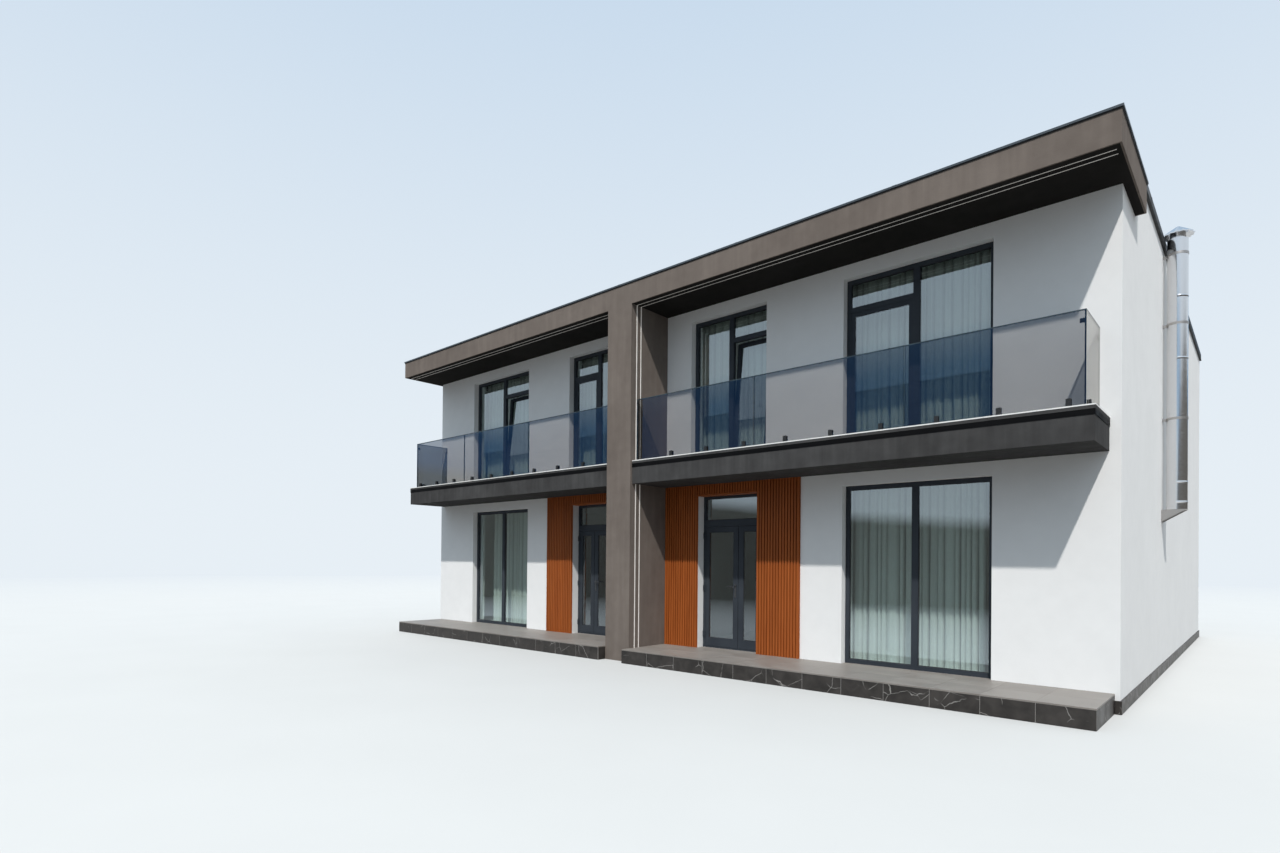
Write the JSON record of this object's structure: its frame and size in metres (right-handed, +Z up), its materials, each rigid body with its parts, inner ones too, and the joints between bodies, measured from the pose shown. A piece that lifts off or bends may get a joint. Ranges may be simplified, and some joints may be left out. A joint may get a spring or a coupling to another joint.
{
  "type": "duplex house",
  "caption": "Two-storey flat-roofed duplex with mirrored homes, glass-guarded balconies, a roof visor, slatted entrances with hinged doors, and outside flues.",
  "frame": {"origin": "on the ground at the centre of the wall footprint, on the party line between the homes", "axes": "+X right along the street front, +Y from the street to the back, +Z up"},
  "size_m": [15.43, 13.725, 7.287],
  "materials": {
    "white_render": "fine-grained mineral render, matt white",
    "roof_membrane": "matt dark grey roofing sheet",
    "taupe_render": "matt warm grey-brown render",
    "charcoal_render": "matt charcoal render",
    "soffit_render": "matt near-black render",
    "dark_metal": "dark satin sheet metal",
    "dark_stone": "dark veined stone slabs",
    "grey_tile": "matt light grey porcelain tile",
    "porch_tile": "matt grey-brown porcelain tile",
    "anthracite_frame": "satin anthracite frame profile",
    "window_glass": "clear double glazing",
    "tinted_glass": "grey tinted laminated glass",
    "black_fitting": "black powder coat",
    "brushed_handle": "dark satin metal",
    "polished_flue": "polished stainless steel",
    "light_diffuser": "opal light diffuser",
    "wood_cladding": "oiled orange-brown slats",
    "sheer_fabric": "sheer white voile"
  },
  "bodies": {
    "house": {"ground_slab": "white_render", "front_ground_piers": "white_render", "front_floor_band": "white_render", "front_upper_piers": "white_render", "front_parapet_band": "white_render", "rear_ground_piers": "white_render", "rear_floor_band": "white_render", "rear_upper_piers": "white_render", "rear_parapet_band": "white_render", "right_side_wall": "white_render", "left_side_wall": "white_render", "party_wall": "white_render", "upper_floor_slab": "white_render", "roof_slab": "roof_membrane", "fin_wall": "taupe_render", "right_visor": "taupe_render", "left_visor": "taupe_render", "right_balcony": "charcoal_render", "left_balcony": "charcoal_render", "soffits": "soffit_render", "visor_coping": "dark_metal", "visor_return_copings": "dark_metal", "side_copings": "dark_metal", "cross_copings": "dark_metal", "balcony_drips": "dark_metal", "porches": "dark_stone", "side_plinths": "dark_stone", "rear_plinth": "dark_stone", "balcony_tiles": "grey_tile", "porch_tiles": "porch_tile", "right_window_frames": "anthracite_frame", "left_window_frames": "anthracite_frame", "balcony_sashes": "anthracite_frame", "rear_window_frames": "anthracite_frame", "right_door_frame": "anthracite_frame", "left_door_frame": "anthracite_frame", "front_glass": "window_glass", "rear_glass": "window_glass", "right_guard": "tinted_glass", "left_guard": "tinted_glass", "guard_clamps": "black_fitting", "flue_pipes": "polished_flue", "flue_caps": "polished_flue", "flue_brackets": "polished_flue", "light_lines": "light_diffuser", "wood_cladding": "wood_cladding", "right_curtains": "sheer_fabric", "left_curtains": "sheer_fabric"},
    "right_main_door": {"right_main_door_leaf": "anthracite_frame", "right_main_door_glass": "window_glass", "right_door_handles": "brushed_handle"},
    "right_side_door": {"right_side_door_leaf": "anthracite_frame", "right_side_door_glass": "window_glass"},
    "left_main_door": {"left_main_door_leaf": "anthracite_frame", "left_main_door_glass": "window_glass", "left_door_handles": "brushed_handle"},
    "left_side_door": {"left_side_door_leaf": "anthracite_frame", "left_side_door_glass": "window_glass"}
  },
  "joints": [
    {"name": "right_main_door_swing", "type": "hinge", "parent": "house", "child": "right_main_door", "pos_m": [1.089, -6.096, 1.33], "axis": [0, 0, -1], "range_deg": [0, 90]},
    {"name": "right_side_door_swing", "type": "hinge", "parent": "house", "child": "right_side_door", "pos_m": [2.221, -6.096, 1.33], "axis": [0, 0, 1], "range_deg": [0, 90]},
    {"name": "left_main_door_swing", "type": "hinge", "parent": "house", "child": "left_main_door", "pos_m": [-1.089, -6.096, 1.33], "axis": [0, 0, 1], "range_deg": [0, 90]},
    {"name": "left_side_door_swing", "type": "hinge", "parent": "house", "child": "left_side_door", "pos_m": [-2.221, -6.096, 1.33], "axis": [0, 0, -1], "range_deg": [0, 90]}
  ]
}
